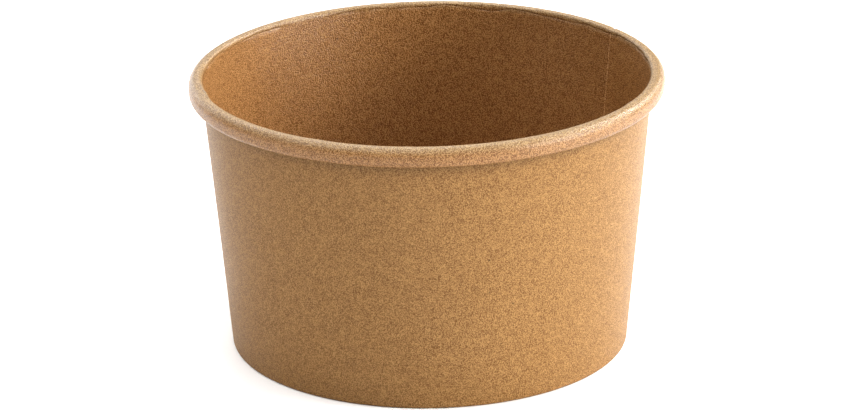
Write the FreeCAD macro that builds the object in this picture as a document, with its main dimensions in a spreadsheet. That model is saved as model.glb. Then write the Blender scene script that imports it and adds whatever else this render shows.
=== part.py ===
import FreeCAD, Part
import Sketcher
import math
import os
from FreeCAD import Placement, Rotation, Vector

# Round paperboard tub with a rolled rim, in millimetres.
# Origin: on the table, on the tub's axis. +Z is up, towards the mouth.
# The tub is two pieces of board. The side wall is one blank: it is rolled into a cone and glued
# along a lap, curled outwards at the top into the rim, and folded in and up at the foot as a hem.
# The bottom is a disc whose edge is turned down as a skirt, held between the wall and the hem.

# Driving dimensions: name, value, what it is. A value that starts with = follows the others.
SIZES = (
    ("rim_diameter", 98.0, "outside of the rolled rim"),
    ("tub_height", 57.9, "table to the top of the rim"),
    ("base_diameter", 82.5, "outside of the wall, produced down to the table"),
    ("rim_width", 2.78, "how far the rolled rim stands out from the wall, at its underside"),
    ("neck_diameter", "=rim_diameter - 2 * rim_width", "outside of the wall, at that level"),
    ("board", 0.45, "thickness of the paperboard"),
    ("rim_height", 3.94, "underside to top of the rolled rim"),
    ("shoulder_radius", 1.75, "round from the rim's top into its side, on the visible face"),
    ("crease_radius", 0.6, "tight bend where the wall turns out into the rim"),
    ("curl_gap", 0.05, "between the rolled-in edge and the wall it lies on"),
    ("curl_tail", 1.0, "straight end of the curl, hidden inside the rim"),
    ("hem_height", 5.8, "table to the cut edge of the folded-in hem"),
    ("glue_gap", 0.02, "film of adhesive on each side of the skirt"),
    ("floor_height", 7.2, "table to the top of the bottom disc"),
    ("floor_corner_radius", 0.7, "top corner of the disc, where it turns down"),
    ("skirt_lift", 0.5, "inside of the foot fold to the cut edge of the skirt"),
    ("bend_slack", 0.19, "most that a chord leaves a round bend, which keeps the surface light"),
    ("lap_width", 7.0, "overlap of the side seam, at the neck"),
    ("lap_ramp", 2.0, "length over which the outer flap steps down past the inner flap's edge"),
    ("lap_foot", 0.75, "table to the lower end of the outer flap"),
    ("lap_tuck", 0.6, "how far the outer flap runs up into the rim"),
    ("lap_azimuth", 33.0, "where the inner flap's edge stands, in degrees from +X towards +Y"),
)


def make_sheet(doc):
    """The spreadsheet that drives every sketch: name, value and meaning in one row each."""
    sheet = doc.addObject("Spreadsheet::Sheet", "sizes")
    for row, (name, value, meaning) in enumerate(SIZES, start=1):
        sheet.set(f"A{row}", name)
        sheet.set(f"B{row}", str(value))
        sheet.set(f"C{row}", meaning)
        sheet.setAlias(f"B{row}", name)
    doc.recompute()
    return sheet


def upright_sketch(doc, name):
    """A sketch in the half plane of +X and +Z: its x is a radius and its y is a height."""
    sketch = doc.addObject("Sketcher::SketchObject", name)
    sketch.Placement = Placement(Vector(), Rotation(Vector(1, 0, 0), 90))
    return sketch


def line(sketch, start, end, construction=False):
    return sketch.addGeometry(Part.LineSegment(start, end), construction)


def arc(sketch, centre, radius, first_angle, last_angle):
    """An arc that runs counterclockwise from first_angle to last_angle, in degrees."""
    circle = Part.Circle(centre, Vector(0, 0, 1), radius)
    piece = Part.ArcOfCircle(circle, math.radians(first_angle), math.radians(last_angle))
    return sketch.addGeometry(piece, False)


def bind(sketch, kind, targets, value, expression):
    """A dimension of the sketch that follows the sheet."""
    index = sketch.addConstraint(Sketcher.Constraint(kind, *targets, value))
    sketch.setExpression(f"Constraints[{index}]", expression)


def fix(sketch, kind, *targets):
    """A constraint without a value, such as Tangent or Horizontal."""
    sketch.addConstraint(Sketcher.Constraint(kind, *targets))


# Sketcher's numbers: the points of a curve, the sketch's origin and its two axes.
START, END, CENTRE = range(1, 4)
ORIGIN = (-1, 1)
HEIGHT_AXIS, RADIUS_AXIS = range(-2, 0)
EQUAL = 1e-6


def wall_face(sketch, sheet):
    """Construction line along the outside of the wall, from the table to the rim's underside."""
    foot = Vector(sheet.base_diameter / 2, 0, 0)
    neck = Vector(sheet.neck_diameter / 2, sheet.tub_height - sheet.rim_height, 0)
    face = line(sketch, foot, neck, construction=True)
    bind(sketch, "DistanceX", (*ORIGIN, face, START), foot.x, "sizes.base_diameter / 2")
    fix(sketch, "PointOnObject", face, START, RADIUS_AXIS)
    bind(sketch, "DistanceX", (*ORIGIN, face, END), neck.x, "sizes.neck_diameter / 2")
    bind(sketch, "DistanceY", (*ORIGIN, face, END), neck.y, "sizes.tub_height - sizes.rim_height")
    return face


def wall_directions(sheet):
    """Unit directions up along the leaning wall and square out of it."""
    along = Vector(
        (sheet.neck_diameter - sheet.base_diameter) / 2, sheet.tub_height - sheet.rim_height, 0)
    along.normalize()
    return along, Vector(along.y, -along.x, 0)


def beside_face(sheet, height, inset):
    """Point at a height, moved in from the outside of the wall by inset, square to the wall."""
    along, outward = wall_directions(sheet)
    return Vector(
        sheet.base_diameter / 2 + height * along.x / along.y - inset / outward.x, height, 0)


def bearing(vector):
    """Direction of a vector in degrees, from 0 up to 360."""
    return math.degrees(math.atan2(vector.y, vector.x)) % 360


def thicken(doc, name, path):
    """The board's section: the path of its food side, thickened by one board."""
    section = doc.addObject("Part::Offset2D", name)
    section.Source = path
    section.Mode = "Skin"
    section.Join = "Arc"
    section.Fill = True
    section.setExpression("Value", "-sizes.board")
    doc.recompute()
    return section


def chords(edge, slack):
    """How many chords follow a round edge without leaving it by more than slack."""
    if not isinstance(edge.Curve, Part.Circle):
        return 1
    step = 2 * math.acos(max(1 - slack / edge.Curve.Radius, -1))
    return math.ceil((edge.LastParameter - edge.FirstParameter) / step)


def in_chords(doc, name, section, sheet):
    """The section with its bends in chords, so that the turned piece is a light row of cones."""
    wire = section.Shape.Faces[0].OuterWire
    corners = []
    for edge, corner in zip(wire.OrderedEdges, wire.OrderedVertexes):
        points = edge.discretize(chords(edge, sheet.bend_slack) + 1)
        if not points[0].isEqual(corner.Point, EQUAL):
            points.reverse()
        corners.extend(points[:-1])
    faceted = doc.addObject("Part::Feature", name)
    faceted.Shape = Part.Face(Part.makePolygon(corners + corners[:1]))
    return faceted


def turn(doc, name, section, angle="360", axis=Vector(0, 0, 1)):
    """The section turned about the tub's axis; angle is an expression in degrees."""
    solid = doc.addObject("Part::Revolution", name)
    solid.Source = section
    solid.Axis = axis
    solid.setExpression("Angle", angle)
    solid.Solid = True
    return solid


def draw_blank(doc, sheet):
    """Food side of the wall's blank, in section: hem, foot fold, wall, rolled rim, tucked tail."""
    board, crease, shoulder = sheet.board, sheet.crease_radius, sheet.shoulder_radius
    along, outward = wall_directions(sheet)
    hem_inset = 2 * board + 2 * sheet.glue_gap
    hem_foot = beside_face(sheet, board, hem_inset)
    wall_foot = beside_face(sheet, board, board)

    # The crease touches the wall and the rim's top. The shoulder touches the top and the side.
    rim_side = sheet.rim_diameter / 2
    crease_centre = beside_face(sheet, sheet.tub_height - crease, board - crease)
    shoulder_centre = Vector(rim_side - shoulder, sheet.tub_height - shoulder, 0)

    # The roll touches the rim's side, the rim's underside and the tail beside the wall.
    roll_level = sheet.tub_height - sheet.rim_height
    room = rim_side - beside_face(sheet, roll_level, -sheet.curl_gap).x
    roll = room * outward.x / (1 + outward.x + along.x)
    roll_centre = Vector(rim_side - roll, roll_level + roll, 0)
    tail_foot = roll_centre - outward * roll

    path = upright_sketch(doc, "blank_path")
    hem = line(path, beside_face(sheet, sheet.hem_height, hem_inset), hem_foot)
    foot = line(path, hem_foot, wall_foot)
    wall = line(path, wall_foot, crease_centre - outward * crease)
    crease_arc = arc(path, crease_centre, crease, 90, bearing(-outward))
    top = line(path, crease_centre + Vector(0, crease, 0), shoulder_centre + Vector(0, shoulder, 0))
    shoulder_arc = arc(path, shoulder_centre, shoulder, 0, 90)
    side = line(path, shoulder_centre + Vector(shoulder, 0, 0), roll_centre + Vector(roll, 0, 0))
    roll_arc = arc(path, roll_centre, roll, bearing(-outward), 360)
    tail = line(path, tail_foot, tail_foot + along * sheet.curl_tail)
    lowest = path.addGeometry(Part.Point(roll_centre - Vector(0, roll, 0)), True)
    face = wall_face(path, sheet)

    # The foot is folded flat, with sharp inner corners. The rim's stretches join smoothly.
    fix(path, "Coincident", hem, END, foot, START)
    fix(path, "Coincident", foot, END, wall, START)
    fix(path, "Tangent", wall, END, crease_arc, END)
    fix(path, "Tangent", crease_arc, START, top, START)
    fix(path, "Tangent", top, END, shoulder_arc, END)
    fix(path, "Tangent", shoulder_arc, START, side, START)
    fix(path, "Tangent", side, END, roll_arc, END)
    fix(path, "Tangent", roll_arc, START, tail, START)

    # The foot stands flat on the table, with one board under the path.
    fix(path, "Horizontal", foot)
    bind(path, "DistanceY", (*ORIGIN, foot, START), board, "sizes.board")

    # The wall, the hem and the tail are parallel, a set distance apart.
    fix(path, "Parallel", wall, face)
    fix(path, "Parallel", hem, face)
    fix(path, "Parallel", tail, face)
    bind(path, "Distance", (wall, START, face), board, "sizes.board")
    bind(path, "Distance", (hem, END, face), hem_inset, "2 * sizes.board + 2 * sizes.glue_gap")
    bind(path, "Distance", (tail, START, wall), board + sheet.curl_gap,
         "sizes.board + sizes.curl_gap")
    bind(path, "DistanceY", (*ORIGIN, hem, START), sheet.hem_height, "sizes.hem_height")
    bind(path, "Distance", (tail, START, tail, END), sheet.curl_tail, "sizes.curl_tail")

    # The rim: tight crease, level top, round shoulder, upright side, and the roll back under.
    bind(path, "Radius", (crease_arc,), crease, "sizes.crease_radius")
    bind(path, "Radius", (shoulder_arc,), shoulder, "sizes.shoulder_radius")
    fix(path, "Horizontal", top)
    bind(path, "DistanceY", (*ORIGIN, top, START), sheet.tub_height, "sizes.tub_height")
    fix(path, "Vertical", side)
    bind(path, "DistanceX", (*ORIGIN, side, START), rim_side, "sizes.rim_diameter / 2")
    fix(path, "PointOnObject", lowest, START, roll_arc)
    fix(path, "Vertical", lowest, START, roll_arc, CENTRE)
    bind(path, "DistanceY", (*ORIGIN, lowest, START), roll_level,
         "sizes.tub_height - sizes.rim_height")
    return path


def draw_lap_strip(doc, sheet, name, side):
    """Closed strip of board against the wall's outside: side is 1 outside it and -1 inside it."""
    top_level = sheet.tub_height - sheet.rim_height + sheet.lap_tuck
    near_foot = beside_face(sheet, sheet.lap_foot, 0)
    near_top = beside_face(sheet, top_level, 0)
    far_foot = beside_face(sheet, sheet.lap_foot, -side * sheet.board)
    far_top = beside_face(sheet, top_level, -side * sheet.board)

    strip = upright_sketch(doc, name)
    face = wall_face(strip, sheet)
    near = line(strip, near_foot, near_top)
    top = line(strip, near_top, far_top)
    far = line(strip, far_top, far_foot)
    foot = line(strip, far_foot, near_foot)
    for before, after in ((near, top), (top, far), (far, foot), (foot, near)):
        fix(strip, "Coincident", before, END, after, START)
    fix(strip, "Horizontal", top)
    fix(strip, "Horizontal", foot)
    fix(strip, "PointOnObject", near, START, face)
    fix(strip, "PointOnObject", near, END, face)
    fix(strip, "Parallel", far, face)
    bind(strip, "Distance", (far, START, face), sheet.board, "sizes.board")
    bind(strip, "DistanceY", (*ORIGIN, near, START), sheet.lap_foot, "sizes.lap_foot")
    bind(strip, "DistanceY", (*ORIGIN, near, END), top_level,
         "sizes.tub_height - sizes.rim_height + sizes.lap_tuck")
    return strip


def draw_disc(doc, sheet):
    """Food side of the bottom disc, in section: floor, rounded corner and turned-down skirt."""
    corner = sheet.floor_corner_radius
    inset = sheet.board + sheet.glue_gap
    corner_level = sheet.floor_height - corner
    skirt_foot_level = sheet.board + sheet.skirt_lift
    corner_centre = beside_face(sheet, corner_level, inset + corner)
    outward = wall_directions(sheet)[1]

    path = upright_sketch(doc, "disc_path")
    face = wall_face(path, sheet)
    floor = line(path, Vector(0, sheet.floor_height, 0), corner_centre + Vector(0, corner, 0))
    bend = arc(path, corner_centre, corner, bearing(outward) - 360, 90)
    skirt = line(
        path, corner_centre + outward * corner, beside_face(sheet, skirt_foot_level, inset))
    fix(path, "Tangent", floor, END, bend, END)
    fix(path, "Tangent", bend, START, skirt, START)
    fix(path, "PointOnObject", floor, START, HEIGHT_AXIS)
    fix(path, "Horizontal", floor)
    fix(path, "Parallel", skirt, face)
    bind(path, "DistanceY", (*ORIGIN, floor, START), sheet.floor_height, "sizes.floor_height")
    bind(path, "Radius", (bend,), corner, "sizes.floor_corner_radius")
    bind(path, "Distance", (skirt, START, face), inset, "sizes.board + sizes.glue_gap")
    bind(path, "DistanceY", (*ORIGIN, skirt, END), skirt_foot_level,
         "sizes.board + sizes.skirt_lift")
    return path


# Angles at the side seam, in degrees: arc lengths at the neck, turned into angles.
LAP_ANGLE = "sizes.lap_width / sizes.neck_diameter * 360 / pi"
RAMP_ANGLE = "sizes.lap_ramp / sizes.neck_diameter * 360 / pi"


def make_side_wall(doc, sheet):
    """The wall: the turned blank, with its outer flap laid over the inner one at the side seam.

    The seam is built at azimuth 0 and then turned to its place. The inner flap's cut edge stands
    at 0 and faces the inside. From there the outer flap covers it clockwise for the lap's width,
    and steps down onto the liner side counterclockwise, which leaves a tapering groove inside.
    """
    section = thicken(doc, "blank_section", draw_blank(doc, sheet))
    blank = turn(doc, "turned_blank", in_chords(doc, "blank_rings", section, sheet))

    flap_strip = draw_lap_strip(doc, sheet, "flap_strip", 1)
    flap = turn(doc, "outer_flap", flap_strip, LAP_ANGLE, Vector(0, 0, -1))

    wall_strip = draw_lap_strip(doc, sheet, "wall_strip", -1)
    landing_strip = draw_lap_strip(doc, sheet, "landing_strip", -1)
    landing_strip.setExpression(
        "Placement",
        "placement(vector(0; 0; 0); "
        f"rotation(vector(0; 0; 1); {RAMP_ANGLE}) * rotation(vector(1; 0; 0); 90))",
    )
    ramp = doc.addObject("Part::Loft", "flap_ramp")
    ramp.Sections = [flap_strip, landing_strip]
    ramp.Solid = True
    ramp.Ruled = True

    step = turn(doc, "wall_under_ramp", wall_strip, RAMP_ANGLE)
    groove = doc.addObject("Part::Cut", "seam_groove")
    groove.Base = step
    groove.Tool = ramp

    lapped = doc.addObject("Part::MultiFuse", "lapped_blank")
    lapped.Shapes = [blank, flap, ramp]
    wall = doc.addObject("Part::Cut", "side_wall")
    wall.Base = lapped
    wall.Tool = groove
    wall.Label = "side_wall"
    wall.Placement = Placement(Vector(), Rotation(Vector(0, 0, 1), sheet.lap_azimuth))
    wall.setExpression("Placement.Rotation.Angle", "sizes.lap_azimuth")
    return wall


def make_bottom_disc(doc, sheet):
    """The bottom: a disc set up inside the foot, with its skirt between the wall and the hem."""
    section = thicken(doc, "disc_section", draw_disc(doc, sheet))
    disc = turn(doc, "bottom_disc", in_chords(doc, "disc_rings", section, sheet))
    disc.Label = "bottom_disc"
    return disc


def check(doc, pieces):
    """Stop with a plain message if anything failed to build, or a piece isn't one sound solid."""
    for item in doc.Objects:
        if "Invalid" in item.State or "Error" in item.State:
            raise RuntimeError(f"{item.Name} did not build: {item.State}")
    for piece in pieces:
        shape = piece.Shape
        if shape.isNull() or not shape.isValid() or len(shape.Solids) != 1:
            raise RuntimeError(f"{piece.Label} is not one sound solid")


doc = FreeCAD.newDocument("paper_tub")
sheet = make_sheet(doc)
pieces = (make_side_wall(doc, sheet), make_bottom_disc(doc, sheet))
doc.recompute()
check(doc, pieces)
os.makedirs("parts", exist_ok=True)
for piece in pieces:
    piece.Shape.exportStep(f"parts/{piece.Label}.step")
    print(piece.Label, "volume", round(piece.Shape.Volume, 1), "mm3")
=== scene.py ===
"""Kraft paper ice cream tub with a rolled rim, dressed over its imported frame.

The side wall is modelled as the real blank is made up: its section is drawn point by point, spun
round the tub's axis past a full turn so that its ends lap, and then thickened to board.
"""
import math

import bmesh
import bpy
from bpy.props import FloatProperty, FloatVectorProperty, PointerProperty
from mathutils import Matrix, Vector


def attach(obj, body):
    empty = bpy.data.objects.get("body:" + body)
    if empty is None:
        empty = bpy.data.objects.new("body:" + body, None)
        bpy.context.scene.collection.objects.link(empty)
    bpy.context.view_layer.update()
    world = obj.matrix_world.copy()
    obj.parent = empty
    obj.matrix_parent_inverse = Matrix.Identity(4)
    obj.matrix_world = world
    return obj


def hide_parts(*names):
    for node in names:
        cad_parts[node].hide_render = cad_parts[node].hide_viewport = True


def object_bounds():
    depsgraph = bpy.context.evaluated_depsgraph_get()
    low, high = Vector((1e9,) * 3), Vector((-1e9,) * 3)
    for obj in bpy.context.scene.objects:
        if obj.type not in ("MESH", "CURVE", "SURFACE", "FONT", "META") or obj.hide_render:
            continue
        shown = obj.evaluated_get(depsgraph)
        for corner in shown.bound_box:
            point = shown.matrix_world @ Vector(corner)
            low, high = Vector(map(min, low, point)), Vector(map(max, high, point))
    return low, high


bl_info = {
    "name": "Paper Ice Cream Tub",
    "version": (1, 0, 0),
    "blender": (4, 5, 0),
    "location": "View3D > Sidebar > Paper Tub",
    "description": "Builds a kraft paper tub with a rolled rim over its packed frame",
    "category": "Add Mesh",
}

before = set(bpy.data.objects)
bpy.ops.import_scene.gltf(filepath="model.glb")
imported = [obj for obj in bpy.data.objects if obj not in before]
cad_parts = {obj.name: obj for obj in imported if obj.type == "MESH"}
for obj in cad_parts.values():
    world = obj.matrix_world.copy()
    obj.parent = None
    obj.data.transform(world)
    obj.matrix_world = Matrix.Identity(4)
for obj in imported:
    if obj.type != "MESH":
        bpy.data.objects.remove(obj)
CAD_BOX = [list(corner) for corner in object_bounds()]
MM = 0.001

# Bearing of the inner flap's cut edge, and the columns of faces round the tub, over and on the lap.
SEAM = math.radians(33)
ROUND_COLUMNS, RAMP_COLUMNS, LAP_COLUMNS = 241, 6, 6
DISC_COLUMNS = 160
WELD = 0.001 * MM
SMOOTH_BELOW = math.radians(35)

# Small marks of making and handling.
FLAP_STEP = (-0.06 * MM, 0.06 * MM)
CURL_LINE_DROP, CURL_LINE_LIP = 0.3 * MM, 0.18 * MM
CURL_LINE_CLOUDS = 9 * MM
SWOLLEN_BEARING, SWOLLEN_HALF = SEAM - math.radians(11), math.radians(8)
SWOLLEN_DROP, SWOLLEN_REACH = (1.0 * MM, 1.9 * MM), 3 * MM
SQUEEZE_BEARING, HANDLED_REACH = math.radians(45), 50 * MM

# Finishes of the board, in the order of its material slots; the last is the pale strip down the
# inner flap's cut edge, the raw board's colour with a painted highlight of that edge catching
# light.
LINING, OUTSIDE, CUT_EDGE, SEAM_RAW_AND_LIT = range(4)
FINISHES = ("kraft lining", "kraft outside", "raw cut edge", "raw seam edge and painted highlight")

# The paper's grain, per metre, and how far its tone spreads; tints of its dark and pale grains.
GRAIN, TONE_SPREAD = 5000.0, 0.13
DEEP, PALE = (0.60, 0.53, 0.43), (1.40, 1.49, 1.60)
# Dark flecks: cells per metre, the share without one, and where one begins and ends in its cell.
FLECKS, FLECKLESS, FLECK_EDGE = 420.0, 0.965, (0.07, 0.12)
# Levels between which the board turns pale over the rim, partly for stretched board and partly as
# painted light from above; and levels over which a painted shade darkens the outside up to the
# rim's underside.
CREST, RIM_SHADE_LEVELS = (57.0 * MM, 58.3 * MM), (51.8 * MM, 54.6 * MM)
GRAIN_HEIGHT, COAT_RELIEF, COAT_ROUGHNESS = 0.25 * MM, 0.45, 0.27

# Name, place, size and power of each soft light, in metres and watts.
LIGHTS = (
    ("key", (1.0, -0.06, 0.62), 0.5, 7.6),
    ("low key", (1.1, -0.35, 0.3), 0.5, 10.4),
    ("front right", (0.8, -0.9, 0.7), 0.6, 3.8),
    ("front top", (-0.1, -0.8, 1.2), 0.7, 4.6),
    ("top", (0.05, 0.1, 1.4), 0.7, 6.0),
    ("left", (-1.0, -0.2, 0.5), 0.5, 1.8),
    ("left top", (-0.65, 0.1, 1.2), 0.6, 7.0),
    ("back right", (0.8, 0.7, 0.7), 0.5, 13.0),
    ("back", (-0.1, 1.0, 0.8), 0.6, 4.6),
    ("low back", (-0.6, 1.0, 0.25), 0.6, 3.2),
)

# The photograph's camera: a long lens, about 20 degrees above the tub.
CAMERA_PLACE = Vector((-0.00028, -0.84924, 0.34208))
CAMERA_AIM = Vector((-0.00028, 0, 0.02851))
CAMERA_ROLL = math.radians(-0.704)
CAMERA_LENS = 183.6
LIGHT_AIM = Vector((0, 0, 0.03))


def length(name, description, millimetres):
    """A size property in metres, given in millimetres."""
    return FloatProperty(
        name=name, description=description, default=millimetres * MM, unit="LENGTH")


def colour(name, description, default):
    return FloatVectorProperty(
        name=name, description=description, default=default, size=3, min=0, max=1,
        subtype="COLOR")


class TubSizes(bpy.types.PropertyGroup):
    """Sizes of the tub, of the wall's section and of the side seam."""

    rim_diameter: length("Rim", "Outside of the rolled rim", (CAD_BOX[1][0] - CAD_BOX[0][0]) / MM)
    height: length("Height", "Table to the top of the rim", CAD_BOX[1][2] / MM)
    foot_diameter: length("Foot", "Outside of the wall at the table", 82.5)
    board: length("Board", "Thickness of the paperboard", 0.45)
    rim_height: length("Rim height", "Underside to top of the rolled rim", 3.94)
    rim_width: length("Rim width", "Stand-out of the rim from the wall", 2.78)
    shoulder: length("Shoulder", "Radius from the rim's top into its side", 1.75)
    crease: length("Crease", "Radius where the wall turns out into the rim", 0.6)
    fold: length("Fold", "Inside radius of the two folds at the foot", 0.06)
    curl_gap: length("Curl gap", "Between the rolled-in edge and the wall", 0.05)
    curl_tail: length("Curl tail", "Straight end of the curl inside the rim", 1.0)
    hem_height: length("Hem", "Table to the cut edge of the folded-in hem", 5.8)
    glue: length("Glue", "Film of adhesive on each side of the skirt", 0.02)
    floor_height: length("Floor", "Table to the top of the bottom disc", 7.2)
    floor_corner: length("Floor corner", "Radius where the disc turns down", 0.7)
    skirt_foot: length("Skirt", "Table to the cut edge of the disc's skirt", 0.95)
    lap: length("Lap", "Overlap of the side seam at the neck", 7.0)
    ramp: length("Ramp", "Length over which the outer flap steps out", 2.0)
    flap_foot: length("Flap foot", "Table to the lower end of the outer flap", 0.75)
    flap_tuck: length("Flap tuck", "How far the outer flap runs up into the rim", 0.6)
    curl_line: length("Curl line", "Depth of the line the curling tool leaves below the rim", 0.09)
    waver: length("Waver", "How much that line wavers", 2.0)
    squeeze: length("Squeeze", "How far the rim is out of round, as handled", 0.28)
    lift: length("Lift", "How far the rim stands higher on its right", 0.18)
    # Width of the pale strip down the inside seam: the raw board's colour with a painted highlight
    # of the cut edge.
    seam_raw_and_lit_width: length("Frayed", "Width of the worn edge down the inside seam", 0.25)
    lap_bulge: length("Lap bulge", "How far the doubled board swells the rim's crease", 0.25)


class TubColours(bpy.types.PropertyGroup):
    """Colours of the board, before its mottle and fibres."""

    outside: colour("Outside", "Printed side of the kraft board", (0.243, 0.129, 0.045))
    lining: colour("Lining", "Food side, which also covers the rim", (0.276, 0.138, 0.049))
    cut_edge: colour("Cut edge", "Raw edge of the board", (0.58, 0.38, 0.21))
    # Pale strip down the inner flap's cut edge: the raw board's colour with a painted highlight
    # where the edge catches light.
    seam_raw_and_lit: colour("Worn edge", "Edge of the inner flap, rubbed pale", (0.44, 0.25, 0.12))
    # Over the rim's top: paler partly for the stretched board, partly as painted light falling from
    # above.
    crest: colour("Crest", "Board stretched pale over the top of the rim", (0.258, 0.157, 0.066))


# Section of the wall, as points of radius and height along the board's food side.


def lean(sizes):
    """Unit directions up along the wall and square out of it, as radius and height."""
    neck = sizes.rim_diameter / 2 - sizes.rim_width
    along = Vector((neck - sizes.foot_diameter / 2, sizes.height - sizes.rim_height)).normalized()
    return along, Vector((along.y, -along.x))


def wall_point(sizes, height, inset):
    """Point at a height, moved in from the outside of the wall by inset, square to the wall."""
    along, outward = lean(sizes)
    outside = sizes.foot_diameter / 2 + height * along.x / along.y
    return Vector((outside - inset / outward.x, height))


def bend(centre, radius, first, last, steps):
    """Points round a bend, from one bearing to another in degrees, both ends included."""
    bearings = [math.radians(first + (last - first) * step / steps) for step in range(steps + 1)]
    return [centre + radius * Vector((math.cos(b), math.sin(b))) for b in bearings]


def run(start, end, steps):
    """Points on a straight run, its two ends left out."""
    return [start.lerp(end, step / steps) for step in range(1, steps)]


def flap_top_level(sizes):
    """Height of the outer flap's upper end, just inside the rim."""
    return sizes.height - sizes.rim_height + sizes.flap_tuck


def blank_section(sizes):
    """Hem, foot, wall, crease, rim and tucked tail, from the hem's cut edge to the tail's."""
    along, outward = lean(sizes)
    tilt = math.degrees(math.atan2(along.x, along.y))
    hem_inset = 2 * (sizes.board + sizes.glue)
    fold_level = sizes.board + sizes.fold
    fold_in = wall_point(sizes, fold_level, hem_inset - sizes.fold)
    fold_up = wall_point(sizes, fold_level, sizes.board + sizes.fold)
    crease = wall_point(sizes, sizes.height - sizes.crease, sizes.board - sizes.crease)
    side = sizes.rim_diameter / 2
    shoulder = Vector((side - sizes.shoulder, sizes.height - sizes.shoulder))
    underside = sizes.height - sizes.rim_height
    room = side - wall_point(sizes, underside, -sizes.curl_gap).x
    roll = room * outward.x / (1 + outward.x + along.x)
    roll_centre = Vector((side - roll, underside + roll))

    hem = wall_point(sizes, sizes.hem_height, hem_inset)
    folds_in = bend(fold_in, sizes.fold, 180 - tilt, 270, 4)
    folds_up = bend(fold_up, sizes.fold, 270, 360 - tilt, 4)
    creases = bend(crease, sizes.crease, 180 - tilt, 90, 7)
    shoulders = bend(shoulder, sizes.shoulder, 90, 0, 9)
    rolls = bend(roll_centre, roll, 0, -180 - tilt, 16)
    tail = [rolls[-1] + along * sizes.curl_tail * step / 3 for step in range(1, 4)]
    flap_foot = [wall_point(sizes, sizes.flap_foot + step, sizes.board) for step in FLAP_STEP]
    flap_top = [wall_point(sizes, flap_top_level(sizes) + step, sizes.board) for step in FLAP_STEP]
    curl_line = curl_line_points(sizes)
    return (
        [hem] + run(hem, folds_in[0], 5) + folds_in + folds_up + flap_foot
        + run(flap_foot[-1], flap_top[0], 20) + flap_top + run(flap_top[-1], curl_line[0], 3)
        + curl_line + creases + run(creases[-1], shoulders[0], 2)
        + shoulders + run(shoulders[-1], rolls[0], 2) + rolls + tail
    )


def curl_line_points(sizes):
    """The shallow groove just below the crease, as its lower lip, bottom and upper lip."""
    level = sizes.height - sizes.crease - CURL_LINE_DROP
    depths = (0, sizes.curl_line, 0)
    return [wall_point(sizes, level + side * CURL_LINE_LIP, sizes.board - depth)
            for side, depth in zip((-1, 0, 1), depths)]


def disc_section(sizes):
    """Floor, rounded corner and turned-down skirt, from the tub's axis to the skirt's edge."""
    along = lean(sizes)[0]
    tilt = math.degrees(math.atan2(along.x, along.y))
    inset = sizes.board + sizes.glue
    level = sizes.floor_height - sizes.floor_corner
    corner = wall_point(sizes, level, inset + sizes.floor_corner)
    corners = bend(corner, sizes.floor_corner, 90, -tilt, 8)
    middle = Vector((0, sizes.floor_height))
    skirt = wall_point(sizes, sizes.skirt_foot, inset)
    return [middle] + run(middle, corners[0], 14) + corners + run(corners[-1], skirt, 4) + [skirt]


# Modelling steps, as done by hand.


def draw_section(name, points):
    """A chain of edges through the points, in the upright plane of the side seam."""
    def place(point):
        return Vector((point.x * math.cos(SEAM), point.x * math.sin(SEAM), point.y))

    bpy.ops.object.select_all(action="DESELECT")
    bpy.ops.mesh.primitive_plane_add(size=MM, location=place(points[0]))
    piece = bpy.context.object
    piece.name = piece.data.name = name
    bpy.ops.object.mode_set(mode="EDIT")
    bpy.ops.mesh.select_mode(type="VERT")
    bpy.ops.mesh.select_all(action="SELECT")
    bpy.ops.mesh.merge(type="CENTER")
    for before, after in zip(points, points[1:]):
        bpy.ops.mesh.extrude_region_move(
            TRANSFORM_OT_translate={"value": place(after) - place(before)})
    bpy.ops.mesh.select_all(action="SELECT")
    return piece


def spin_on(angle, steps):
    """Carry the selected column on, clockwise as seen from above, and leave the last selected."""
    bpy.ops.mesh.spin(steps=steps, angle=angle, center=(0, 0, 0), axis=(0, 0, 1))


def face_food_side():
    """Turn the sheet's faces to its food side: the spin leaves them looking the other way."""
    bpy.ops.mesh.select_all(action="SELECT")
    bpy.ops.mesh.flip_normals()


def select_points(piece, wanted):
    """Select the points that pass a test of their number and place."""
    bpy.ops.mesh.select_all(action="DESELECT")
    mesh = bmesh.from_edit_mesh(piece.data)
    offset = piece.location
    for point in mesh.verts:
        point.select = wanted(point.index, point.co + offset)
    mesh.select_flush_mode()
    bmesh.update_edit_mesh(piece.data)


def nudge(piece, wanted, reach, operator, **how):
    """Move what is wanted, and what lies within reach of it more and more softly."""
    select_points(piece, wanted)
    operator(use_proportional_edit=True, proportional_edit_falloff="SMOOTH",
             proportional_size=reach, **how)


def put_out_of_round(piece, sizes):
    """Squeeze the rim by hand, longer to the back right, and lift its right side a hair."""
    def at_rim(number, place):
        return place.z > sizes.height - sizes.rim_height

    part, top = sizes.squeeze / (sizes.rim_diameter / 2), (0, 0, sizes.height)
    nudge(piece, at_rim, HANDLED_REACH, bpy.ops.transform.resize, value=(1 + part, 1 - part, 1),
          orient_type="GLOBAL", orient_matrix_type="GLOBAL",
          orient_matrix=Matrix.Rotation(SQUEEZE_BEARING, 3, "Z"), center_override=top)
    nudge(piece, at_rim, HANDLED_REACH, bpy.ops.transform.rotate, orient_axis="Y",
          value=sizes.lift / (sizes.rim_diameter / 2), center_override=top)


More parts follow.
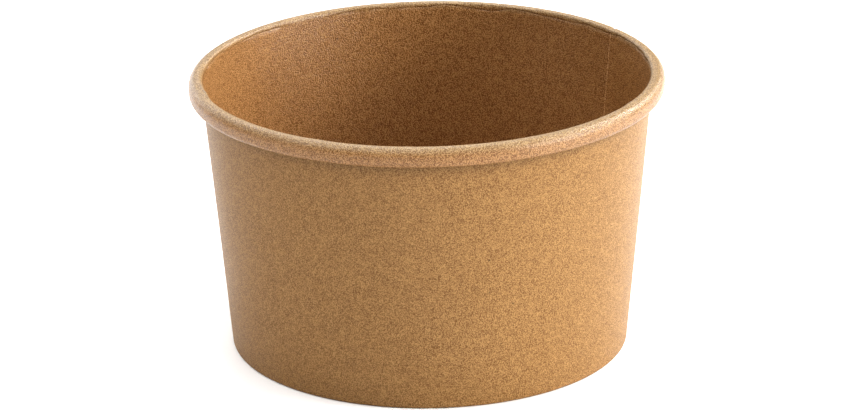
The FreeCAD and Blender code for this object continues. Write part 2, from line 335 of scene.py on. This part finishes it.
def waver_curl_line(piece, sizes):
    """Let the curl line wander up and down on a cloudy pattern, fading over the crease."""
    line = curl_line_points(sizes)
    group = piece.vertex_groups.new(name="curl line")
    fade = sizes.height - line[-1].y
    bpy.ops.object.mode_set(mode="OBJECT")
    for point in piece.data.vertices:
        radius = point.co.xy.length
        if point.co.z > line[0].y - 0.01 * MM and radius < line[-1].x + sizes.crease:
            group.add([point.index], min(1, max(0, (sizes.height - point.co.z) / fade)), "REPLACE")
    clouds = bpy.data.textures.new("curl line waver", "CLOUDS")
    clouds.noise_scale = CURL_LINE_CLOUDS
    clouds.noise_depth = 2
    wander = piece.modifiers.new("Waver", "DISPLACE")
    wander.texture = clouds
    wander.texture_coords = "LOCAL"
    wander.direction = "Z"
    wander.mid_level = 0.5
    wander.strength = sizes.waver
    wander.vertex_group = group.name
    bpy.ops.object.modifier_apply(modifier=wander.name)
    piece.vertex_groups.clear()


def paint_seam_raw_and_lit(wall, sizes):
    """Give the first narrow column, along the inner flap's cut edge, a pale finish: the raw board's
    colour with a painted highlight of the edge catching light.
    """
    for face in wall.data.polygons:
        past_edge = SEAM - math.atan2(face.center.y, face.center.x)
        if (face.material_index == LINING and 0 < past_edge < sizes.seam_raw_and_lit_width / face.center.xy.length
                and sizes.floor_height < face.center.z < sizes.height - sizes.crease):
            face.material_index = SEAM_RAW_AND_LIT


def swell_lap(piece, sizes):
    """Round the crease out where the rim is curled from doubled board."""
    least, most = SWOLLEN_DROP

    def doubled(number, place):
        off_middle = abs(math.atan2(place.y, place.x) - SWOLLEN_BEARING)
        return (off_middle < SWOLLEN_HALF and least < sizes.height - place.z < most
                and place.xy.length < wall_point(sizes, place.z, -sizes.board).x)

    outward = Vector((math.cos(SWOLLEN_BEARING), math.sin(SWOLLEN_BEARING), 0))
    nudge(piece, doubled, SWOLLEN_REACH, bpy.ops.transform.translate,
          value=outward * sizes.lap_bulge,
          use_proportional_connected=True)


def thicken(piece, board):
    """Give the sheet its board, away from the food side, and finish the object at the origin."""
    bpy.ops.object.mode_set(mode="OBJECT")
    bpy.ops.object.transform_apply(location=True, rotation=True, scale=True)
    solid = piece.modifiers.new("Board", "SOLIDIFY")
    solid.thickness = board
    solid.offset = -1
    solid.use_quality_normals = True
    solid.material_offset = OUTSIDE - LINING
    solid.material_offset_rim = CUT_EDGE - LINING
    bpy.ops.object.modifier_apply(modifier=solid.name)


def smooth():
    """Shade the active piece smooth, and keep its cut edges sharp."""
    bpy.ops.object.shade_smooth_by_angle(angle=SMOOTH_BELOW)


# Materials.


def node(tree, kind, inputs=(), **settings):
    """Add a shader node; inputs are socket names with a value or another node's socket."""
    made = tree.nodes.new(kind)
    for name, value in settings.items():
        setattr(made, name, value)
    for name, value in dict(inputs).items():
        if isinstance(value, bpy.types.NodeSocket):
            tree.links.new(value, made.inputs[name])
        else:
            made.inputs[name].default_value = value
    return made


def kraft(name, base, roughness, gloss, coat=0.0, mottle=1.0, relief=0.5, crest=None,
          painted_rim_shade=False):
    """Kraft paper: fine grain, curled light and dark fibres, a few dark flecks, soft gloss."""
    material = bpy.data.materials.new(name)
    material.use_nodes = True
    tree = material.node_tree
    shader = tree.nodes["Principled BSDF"]
    place = node(tree, "ShaderNodeTexCoord").outputs["Object"]

    def noise(scale, detail=0.0, distortion=0.0):
        made = node(tree, "ShaderNodeTexNoise", {
            "Vector": place, "Scale": scale, "Detail": detail, "Distortion": distortion})
        return made.outputs["Fac"]

    def mapped(value, low, high, least, most):
        made = node(tree, "ShaderNodeMapRange", {
            "Value": value, "From Min": low, "From Max": high, "To Min": least, "To Max": most})
        return made.outputs["Result"]

    def maths(operation, *values):
        made = node(tree, "ShaderNodeMath", dict(enumerate(values)), operation=operation)
        return made.outputs[0]

    def fibres(scale, hidden):
        """Thin curled lines of a noise's middle level, where a second noise lets them show."""
        level = maths("ABSOLUTE", maths("SUBTRACT", noise(scale, 1.0, 1.6), 0.5))
        line = mapped(level, 0.012, 0.05, 1.0, 0.0)
        return maths("MULTIPLY", line, mapped(noise(scale * 0.63), hidden, hidden + 0.05, 0.0, 1.0))

    tone = maths("MULTIPLY", noise(GRAIN), 0.76)
    for layer, weight in (
        (noise(GRAIN * 0.42, 1.0), 0.15),
        (noise(GRAIN * 0.11, 2.0), 0.09),
        (fibres(GRAIN * 0.25, 0.5), 0.09),
        (fibres(GRAIN * 0.28, 0.52), -0.05),
    ):
        tone = maths("MULTIPLY_ADD", layer, weight, tone)
    spread = TONE_SPREAD / mottle
    shade = mapped(tone, 0.5 - spread, 0.5 + spread, 0.0, 1.0)

    specks = node(tree, "ShaderNodeTexVoronoi", {"Vector": place, "Scale": FLECKS})
    chosen = maths("GREATER_THAN", node(tree, "ShaderNodeSeparateColor", {
        "Color": specks.outputs["Color"]}).outputs[0], FLECKLESS)
    fleck = maths("MULTIPLY", chosen, mapped(specks.outputs["Distance"], *FLECK_EDGE, 0.5, 0.0))

    def mottled(colour):
        """The colour as the grain's tone has it, from deep to pale."""
        deep, pale = ((*(c * t for c, t in zip(colour, tint)), 1) for tint in (DEEP, PALE))
        return node(tree, "ShaderNodeMixRGB", {
            "Fac": shade, "Color1": deep, "Color2": pale}).outputs["Color"]

    paper = mottled(base)
    height = node(tree, "ShaderNodeSeparateXYZ", {"Vector": place}).outputs["Z"]
    height = maths("MULTIPLY_ADD", tone, 1.0 * MM, height)
    # Painted shade under the rim: the outside darkens from 1 at 51.8 mm to 0.72 at 54.6 mm, and
    # stays that dark above.
    if painted_rim_shade:
        rim_shade_factor = mapped(height, *RIM_SHADE_LEVELS, 1.0, 0.72)
        paper = node(tree, "ShaderNodeVectorMath", {
            0: paper, "Scale": rim_shade_factor}, operation="SCALE").outputs["Vector"]
    # Paler over the rim's top: partly stretched board, partly painted light from above.
    if crest:
        stretched_and_lit = mapped(height, *CREST, 0.0, 1.0)
        paper = node(tree, "ShaderNodeMixRGB", {
            "Fac": stretched_and_lit, "Color1": paper, "Color2": mottled(crest)}).outputs["Color"]
    flecked = node(tree, "ShaderNodeVectorMath", {
        0: paper, "Scale": maths("SUBTRACT", 1.0, fleck)}, operation="SCALE")
    tree.links.new(flecked.outputs["Vector"], shader.inputs["Base Color"])

    for socket, strength in (("Normal", relief), ("Coat Normal", relief * COAT_RELIEF)):
        bumps = node(tree, "ShaderNodeBump", {
            "Height": tone, "Strength": strength, "Distance": GRAIN_HEIGHT})
        tree.links.new(bumps.outputs["Normal"], shader.inputs[socket])
    shader.inputs["Roughness"].default_value = roughness
    shader.inputs["Specular IOR Level"].default_value = gloss
    shader.inputs["Coat Weight"].default_value = coat
    shader.inputs["Coat Roughness"].default_value = COAT_ROUGHNESS
    return material


def board_finishes(colours):
    """The board's finishes, made the first time and used again after."""
    if FINISHES[LINING] not in bpy.data.materials:
        kraft(FINISHES[LINING], colours.lining, 0.6, 0.05, coat=0.8, mottle=1.7, relief=1.0,
              crest=colours.crest)
        # The outside carries the painted shade up to the underside of the rim.
        kraft(FINISHES[OUTSIDE], colours.outside, 0.65, 0.04, coat=0.35, painted_rim_shade=True)
        kraft(FINISHES[CUT_EDGE], colours.cut_edge, 0.9, 0.0)
        # The seam's pale strip: raw board colour with a painted highlight of the cut edge.
        kraft(FINISHES[SEAM_RAW_AND_LIT], colours.seam_raw_and_lit, 0.8, 0.0, mottle=1.7)
    return [bpy.data.materials[name] for name in FINISHES]


class TUB_OT_side_wall(bpy.types.Operator):
    """Roll the wall's blank: hem, wall, rolled rim and lapped side seam"""

    bl_idname = "paper_tub.side_wall"
    bl_label = "Side Wall"

    def execute(self, context):
        sizes, colours = context.scene.tub_sizes, context.scene.tub_colours
        points = blank_section(sizes)
        rows = len(points)
        neck = sizes.rim_diameter / 2 - sizes.rim_width
        ramp, lap = sizes.ramp / neck, sizes.lap / neck
        seam_raw_and_lit_width = sizes.seam_raw_and_lit_width / neck

        wall = draw_section("side_wall_board", points)
        for material in board_finishes(colours):
            wall.data.materials.append(material)
        spin_on(seam_raw_and_lit_width, 1)
        spin_on(2 * math.pi - ramp - seam_raw_and_lit_width, ROUND_COLUMNS - 1)
        spin_on(ramp, RAMP_COLUMNS)
        spin_on(lap, LAP_COLUMNS)
        face_food_side()

        # The flap steps out past the inner flap's cut edge, and stays out to its own.
        for column in range(ROUND_COLUMNS + 1, ROUND_COLUMNS + RAMP_COLUMNS + 1):
            def from_here_on(number, place):
                return (number // rows >= column and place.z > sizes.flap_foot
                        and math.hypot(*place.xy) > wall_point(sizes, place.z, 2 * sizes.board).x)

            select_points(wall, from_here_on)
            bpy.ops.transform.shrink_fatten(value=-(sizes.board + sizes.glue) / RAMP_COLUMNS)

        # Past the full turn the flap covers the wall's own height, and no hem, fold or rim.
        def spare(number, place):
            inside, outside = (
                wall_point(sizes, place.z, inset * sizes.board).x for inset in (1.5, -2))
            return number // rows > ROUND_COLUMNS + RAMP_COLUMNS and not (
                sizes.flap_foot < place.z < flap_top_level(sizes)
                and inside < math.hypot(*place.xy) < outside)

        select_points(wall, spare)
        bpy.ops.mesh.delete(type="VERT")
        bpy.ops.mesh.select_all(action="SELECT")
        bpy.ops.mesh.remove_doubles(threshold=WELD)
        swell_lap(wall, sizes)
        put_out_of_round(wall, sizes)
        thicken(wall, sizes.board)
        waver_curl_line(wall, sizes)
        paint_seam_raw_and_lit(wall, sizes)
        smooth()
        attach(wall, "root")
        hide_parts("side_wall")
        return {"FINISHED"}


class TUB_OT_bottom_disc(bpy.types.Operator):
    """Turn the bottom disc, with its skirt between the wall and the hem"""

    bl_idname = "paper_tub.bottom_disc"
    bl_label = "Bottom Disc"

    def execute(self, context):
        sizes, colours = context.scene.tub_sizes, context.scene.tub_colours
        disc = draw_section("bottom_disc_board", disc_section(sizes))
        for material in board_finishes(colours)[:SEAM_RAW_AND_LIT]:
            disc.data.materials.append(material)
        spin_on(2 * math.pi, DISC_COLUMNS)
        face_food_side()
        bpy.ops.mesh.remove_doubles(threshold=WELD)
        thicken(disc, sizes.board)
        smooth()
        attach(disc, "root")
        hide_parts("bottom_disc")
        return {"FINISHED"}


class TUB_OT_stage(bpy.types.Operator):
    """Set the tub on a white floor, with soft studio light and the camera"""

    bl_idname = "paper_tub.stage"
    bl_label = "Stage"

    def execute(self, context):
        bpy.ops.object.select_all(action="DESELECT")
        bpy.ops.mesh.primitive_plane_add(size=6, location=(0, 0, -0.02 * MM))
        floor = context.object
        floor.name = "floor"
        white = bpy.data.materials.new("white floor")
        white.use_nodes = True
        surface = white.node_tree.nodes["Principled BSDF"]
        surface.inputs["Base Color"].default_value = (0.93, 0.93, 0.93, 1)
        surface.inputs["Roughness"].default_value = 0.9
        floor.data.materials.append(white)

        world = bpy.data.worlds.new("studio")
        world.use_nodes = True
        sky = world.node_tree.nodes["Background"]
        sky.inputs["Color"].default_value = (1.0, 0.97, 0.93, 1)
        sky.inputs["Strength"].default_value = 0.15
        context.scene.world = world

        for name, place, size, power in LIGHTS:
            add_light(name, place, size, power)
        add_camera()
        context.scene.view_settings.view_transform = "Standard"
        context.scene.view_settings.look = "Medium High Contrast"
        return {"FINISHED"}


def add_light(name, place, size, power):
    """A square soft light that looks at the tub."""
    bpy.ops.object.light_add(type="AREA", location=place)
    light = bpy.context.object
    light.name = name
    light.data.size = size
    light.data.energy = power
    aim = LIGHT_AIM - Vector(place)
    light.rotation_euler = aim.to_track_quat("-Z", "Y").to_euler()


def add_camera():
    """Set up the photograph's camera and look through it."""
    bpy.ops.object.camera_add(location=CAMERA_PLACE)
    camera = bpy.context.object
    camera.name = "camera"
    camera.data.lens = CAMERA_LENS
    camera.data.sensor_width = 36
    looking = (CAMERA_AIM - CAMERA_PLACE).to_track_quat("-Z", "Y").to_matrix()
    camera.rotation_euler = (looking @ Matrix.Rotation(CAMERA_ROLL, 3, "Z")).to_euler()
    camera.data.clip_start, camera.data.clip_end = 0.05, 20
    bpy.context.scene.camera = camera


class TUB_PT_panel(bpy.types.Panel):
    """Lists the tub's sizes, colours and building steps"""

    bl_label = "Paper Tub"
    bl_idname = "TUB_PT_panel"
    bl_space_type = "VIEW_3D"
    bl_region_type = "UI"
    bl_category = "Paper Tub"

    def draw(self, context):
        for group in (context.scene.tub_sizes, context.scene.tub_colours):
            box = self.layout.box()
            for name in group.bl_rna.properties.keys():
                if name not in ("rna_type", "name"):
                    box.prop(group, name)
        for step in STEPS:
            self.layout.operator(step.bl_idname)


STEPS = (TUB_OT_side_wall, TUB_OT_bottom_disc, TUB_OT_stage)
CLASSES = (TubSizes, TubColours, *STEPS, TUB_PT_panel)


def register():
    for item in CLASSES:
        bpy.utils.register_class(item)
    bpy.types.Scene.tub_sizes = PointerProperty(type=TubSizes)
    bpy.types.Scene.tub_colours = PointerProperty(type=TubColours)


def unregister():
    del bpy.types.Scene.tub_colours
    del bpy.types.Scene.tub_sizes
    for item in reversed(CLASSES):
        bpy.utils.unregister_class(item)


def main():
    register()
    bpy.ops.paper_tub.side_wall()
    bpy.ops.paper_tub.bottom_disc()
    bpy.ops.paper_tub.stage()


if __name__ == "__main__":
    main()
